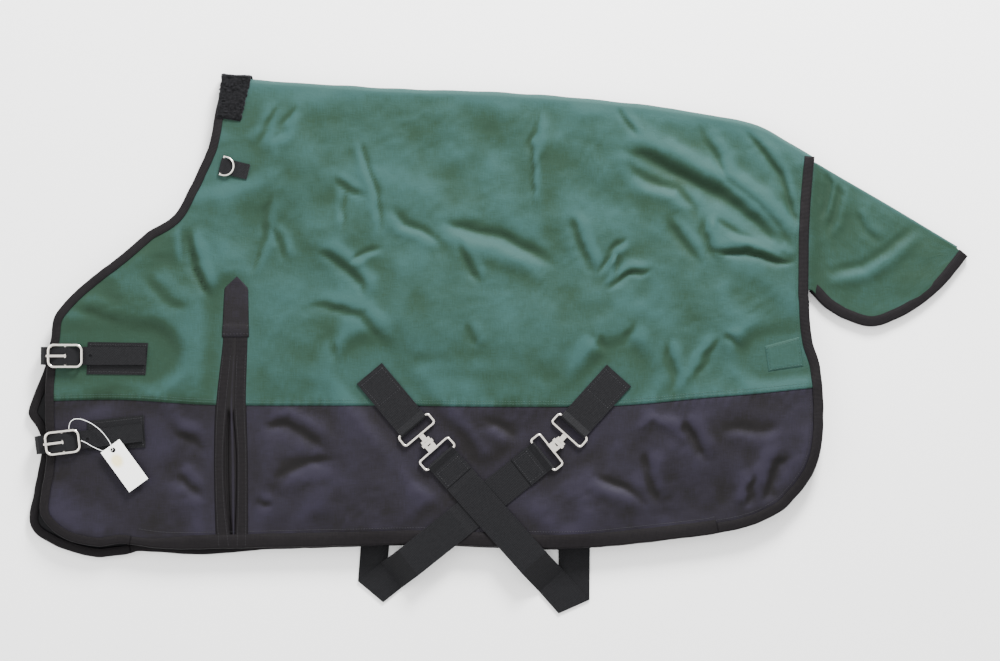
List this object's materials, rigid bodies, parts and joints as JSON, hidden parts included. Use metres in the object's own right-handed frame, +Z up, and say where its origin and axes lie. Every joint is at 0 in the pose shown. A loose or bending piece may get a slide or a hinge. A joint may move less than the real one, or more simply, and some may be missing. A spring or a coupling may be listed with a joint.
{
  "type": "turnout rug",
  "caption": "Folded turnout rug for a small pony: two-tone quilted body with tail flap, buckled chest straps, crossed belly surcingles and neck rings.",
  "frame": {"origin": "on the floor, below the middle of the folded rug's box", "axes": "+X along the rug to the tail, +Y across it to the folded spine, +Z up off the floor"},
  "size_m": [1.4726, 0.8465, 0.0411],
  "materials": {
    "green_shell": "woven nylon, teal green, slight sheen",
    "black_panel": "woven nylon, black",
    "batting": "polyester wadding",
    "lining": "plain nylon lining",
    "binding_tape": "ribbed polyester tape",
    "webbing": "woven polyester webbing",
    "fleece": "knitted pile fleece",
    "nickel": "nickel plated",
    "card": "white card",
    "string": "white thread"
  },
  "bodies": {
    "root": {"batting": "batting", "front_surcingle_strap": "webbing", "front_surcingle_tab": "webbing", "lining": "lining", "lower_billet": "webbing", "lower_chape": "webbing", "lower_chest_patch": "webbing", "near_chest_skirt": "black_panel", "near_flank_skirt": "black_panel", "near_front_binding": "binding_tape", "near_gusset_cap": "webbing", "near_gusset_front_tape": "binding_tape", "near_gusset_panel": "black_panel", "near_gusset_rear_tape": "binding_tape", "near_hem_binding": "binding_tape", "near_leg_patch": "green_shell", "near_neck_tab": "webbing", "near_rear_binding": "binding_tape", "off_chest_skirt": "black_panel", "off_flank_skirt": "black_panel", "off_front_binding": "binding_tape", "off_gusset_cap": "webbing", "off_gusset_front_tape": "binding_tape", "off_gusset_panel": "black_panel", "off_gusset_rear_tape": "binding_tape", "off_hem_binding": "binding_tape", "off_leg_patch": "green_shell", "off_neck_tab": "webbing", "off_rear_binding": "binding_tape", "outer_shell": "green_shell", "rear_surcingle_strap": "webbing", "rear_surcingle_tab": "webbing", "tag_string": "string", "upper_billet": "webbing", "upper_chape": "webbing", "upper_chest_patch": "webbing", "withers_fleece": "fleece"},
    "near_ring": {"near_neck_ring": "nickel"},
    "off_ring": {"off_neck_ring": "nickel"},
    "tail_flap": {"tail_flap_shell": "green_shell", "tail_flap_lining": "lining", "near_flap_binding": "binding_tape", "off_flap_binding": "binding_tape"},
    "front_hook": {"front_hook": "nickel"},
    "front_eye": {"front_eye": "nickel"},
    "rear_hook": {"rear_hook": "nickel"},
    "rear_eye": {"rear_eye": "nickel"},
    "upper_frame": {"upper_buckle_frame": "nickel"},
    "upper_tongue": {"upper_buckle_tongue": "nickel"},
    "lower_frame": {"lower_buckle_frame": "nickel"},
    "lower_tongue": {"lower_buckle_tongue": "nickel"},
    "tag": {"swing_tag": "card"}
  },
  "joints": [
    {"name": "near_ring_swing", "type": "hinge", "parent": "root", "child": "near_ring", "pos_m": [-0.43, 0.28, 0.0302], "axis": [-0.2419, -0.9703, 0], "range_deg": [0, 160]},
    {"name": "off_ring_swing", "type": "hinge", "parent": "root", "child": "off_ring", "pos_m": [-0.43, 0.28, 0.0044], "axis": [0.2419, 0.9703, 0], "range_deg": [0, 125]},
    {"name": "tail_flap_lift", "type": "hinge", "parent": "root", "child": "tail_flap", "pos_m": [0.494, 0.186, 0.014], "axis": [-0.0441, -0.999, 0], "range_deg": [0, 100]},
    {"name": "front_hook_lift", "type": "hinge", "parent": "root", "child": "front_hook", "pos_m": [-0.13234, -0.12572, 0.0307], "axis": [-0.766, -0.6428, 0], "range_deg": [0, 8]},
    {"name": "front_eye_lift", "type": "hinge", "parent": "root", "child": "front_eye", "pos_m": [-0.08829, -0.17686, 0.0307], "axis": [0.7478, 0.6639, 0], "range_deg": [0, 9.2]},
    {"name": "rear_hook_lift", "type": "hinge", "parent": "root", "child": "rear_hook", "pos_m": [0.11849, -0.12665, 0.0307], "axis": [-0.7431, 0.6691, 0], "range_deg": [0, 8]},
    {"name": "rear_eye_lift", "type": "hinge", "parent": "root", "child": "rear_eye", "pos_m": [0.06978, -0.17305, 0.0307], "axis": [0.6239, -0.7815, 0], "range_deg": [0, 9.2]},
    {"name": "upper_buckle_rock", "type": "hinge", "parent": "root", "child": "upper_frame", "pos_m": [-0.6744, -0.0172, 0.0319], "axis": [0, 1, 0], "range_deg": [0, 4]},
    {"name": "upper_tongue_lift", "type": "hinge", "parent": "upper_frame", "child": "upper_tongue", "pos_m": [-0.6744, -0.0172, 0.0319], "axis": [0, 1, 0], "range_deg": [0, 9]},
    {"name": "lower_buckle_rock", "type": "hinge", "parent": "root", "child": "lower_frame", "pos_m": [-0.6784, -0.1519, 0.0319], "axis": [-0.1219, 0.9925, 0], "range_deg": [0, 4]},
    {"name": "lower_tongue_lift", "type": "hinge", "parent": "lower_frame", "child": "lower_tongue", "pos_m": [-0.6784, -0.1519, 0.0319], "axis": [-0.1219, 0.9925, 0], "range_deg": [0, 9]},
    {"name": "tag_swing", "type": "hinge", "parent": "root", "child": "tag", "pos_m": [-0.5995, -0.164, 0.0353], "axis": [0, 0, 1], "range_deg": [-45, 40]}
  ],
  "couplings": [
    {"joint": "front_eye_lift", "follows": "front_hook_lift", "ratio": 1.143},
    {"joint": "rear_eye_lift", "follows": "rear_hook_lift", "ratio": 1.143}
  ]
}
